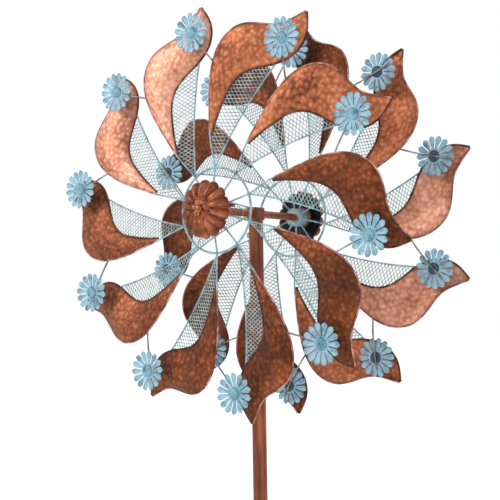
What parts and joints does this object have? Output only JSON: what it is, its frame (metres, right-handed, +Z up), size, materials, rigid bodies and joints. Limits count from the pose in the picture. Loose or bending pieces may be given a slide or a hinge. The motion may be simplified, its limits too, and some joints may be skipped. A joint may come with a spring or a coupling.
{
  "type": "wind spinner",
  "caption": "Garden wind spinner: two leaf-bladed wheels turn in opposite directions on a level axle at the top of a staked pole.",
  "frame": {"origin": "on the pole's axis at ground level, where the centre spike leaves the underside of the step bar", "axes": "+Z up the pole, Y along the wheels' axle with the front wheel at -Y, +X to the right seen from the front"},
  "size_m": [0.6018, 0.282, 2.1355],
  "materials": {
    "copper_leaf": "hammered copper patina",
    "verdigris_mesh": "satin",
    "copper_cap": "satin",
    "blue_flower": "brushed pale blue patina",
    "blue_wire": "satin",
    "steel": "satin",
    "bronze_pole": "brushed bronze paint"
  },
  "bodies": {
    "stand": {"axle": "bronze_pole", "axle_washers": "steel", "axle_locknuts": "steel", "axle_bracket": "bronze_pole", "pole_upper": "bronze_pole", "pole_middle": "bronze_pole", "pole_lower": "bronze_pole", "pole_spigots": "bronze_pole", "pole_bolts": "steel", "pole_nuts": "steel", "ground_socket": "bronze_pole", "step_bar": "bronze_pole", "centre_spike": "bronze_pole", "side_prongs": "bronze_pole"},
    "front_wheel": {"front_leaf_01": "copper_leaf", "front_leaf_02": "copper_leaf", "front_leaf_03": "copper_leaf", "front_leaf_04": "copper_leaf", "front_leaf_05": "copper_leaf", "front_leaf_06": "copper_leaf", "front_leaf_07": "copper_leaf", "front_leaf_08": "copper_leaf", "front_leaf_09": "copper_leaf", "front_leaf_10": "copper_leaf", "front_mesh_panels": "verdigris_mesh", "front_rib_wires": "blue_wire", "front_rim_wires": "blue_wire", "front_brace_wires": "blue_wire", "front_flower_stems": "blue_flower", "front_flower_petals": "blue_flower", "front_flower_buttons": "blue_flower", "front_ring_and_spokes": "blue_wire", "front_hub_barrel": "blue_wire", "front_bearings": "steel", "front_cap": "copper_cap", "front_cap_bud": "copper_cap"},
    "rear_wheel": {"rear_leaf_01": "copper_leaf", "rear_leaf_02": "copper_leaf", "rear_leaf_03": "copper_leaf", "rear_leaf_04": "copper_leaf", "rear_leaf_05": "copper_leaf", "rear_leaf_06": "copper_leaf", "rear_leaf_07": "copper_leaf", "rear_leaf_08": "copper_leaf", "rear_leaf_09": "copper_leaf", "rear_leaf_10": "copper_leaf", "rear_mesh_panels": "verdigris_mesh", "rear_rib_wires": "blue_wire", "rear_rim_wires": "blue_wire", "rear_brace_wires": "blue_wire", "rear_flower_stems": "blue_flower", "rear_flower_petals": "blue_flower", "rear_flower_buttons": "blue_flower", "rear_ring_and_spokes": "blue_wire", "rear_hub_barrel": "blue_wire", "rear_bearings": "steel", "rear_cap": "copper_cap", "rear_cap_bud": "copper_cap"}
  },
  "joints": [
    {"name": "front_wheel_spin", "type": "hinge", "parent": "stand", "child": "front_wheel", "pos_m": [0, -0.11, 1.6], "axis": [0, 1, 0], "continuous": true},
    {"name": "rear_wheel_spin", "type": "hinge", "parent": "stand", "child": "rear_wheel", "pos_m": [0, 0.11, 1.6], "axis": [0, 1, 0], "continuous": true}
  ]
}
